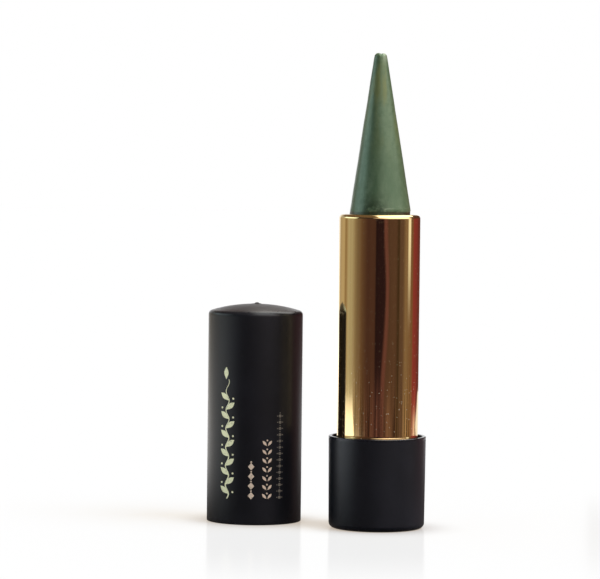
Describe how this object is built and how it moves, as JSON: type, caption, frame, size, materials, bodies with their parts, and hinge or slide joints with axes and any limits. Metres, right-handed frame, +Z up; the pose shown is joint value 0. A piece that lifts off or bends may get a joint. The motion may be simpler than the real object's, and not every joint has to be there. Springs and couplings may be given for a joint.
{
  "type": "twist-up kohl stick",
  "caption": "Slim twist-up kohl container: black base, turning gold tube, pointed green kohl cone on a screw-driven cup, and a domed push-on cap standing beside it.",
  "frame": {"origin": "centre of the base's foot, on the stick's axis", "axes": "+Z up along the stick from its foot to the kohl's tip; the cap stands on the -X side, a little towards +Y; the picture looks along +Y"},
  "size_m": [0.0339, 0.023, 0.0731],
  "materials": {
    "black_plastic": "soft matte black moulding with a fine grain",
    "label_film": "blank satin film",
    "mechanism_plastic": "natural white moulding",
    "cup_plastic": "natural white moulding",
    "gold_metal": "mirror-bright gold anodised",
    "kohl": "waxy with a faint pearl"
  },
  "bodies": {
    "grip": {"base": "black_plastic", "shade_label": "label_film", "inner_body": "mechanism_plastic"},
    "shell": {"gold_tube": "gold_metal", "cam_sleeve": "mechanism_plastic"},
    "carrier": {"cup": "cup_plastic", "kohl_cone": "kohl"},
    "cap_unit": {"cap": "black_plastic"}
  },
  "joints": [
    {"name": "shell_turn", "type": "hinge", "parent": "grip", "child": "shell", "pos_m": [0, 0, 0], "axis": [0, 0, 1], "range_deg": [0, 774]},
    {"name": "cup_slide", "type": "slide", "parent": "grip", "child": "carrier", "axis": [0, 0, 1], "range_m": [-0.0259, 0]},
    {"name": "cap_lift", "type": "slide", "parent": "grip", "child": "cap_unit", "axis": [0, 0, 1], "range_m": [0, 0.06]}
  ],
  "couplings": [
    {"joint": "cup_slide", "follows": "shell_turn", "m_per_rad": -0.0019099}
  ]
}
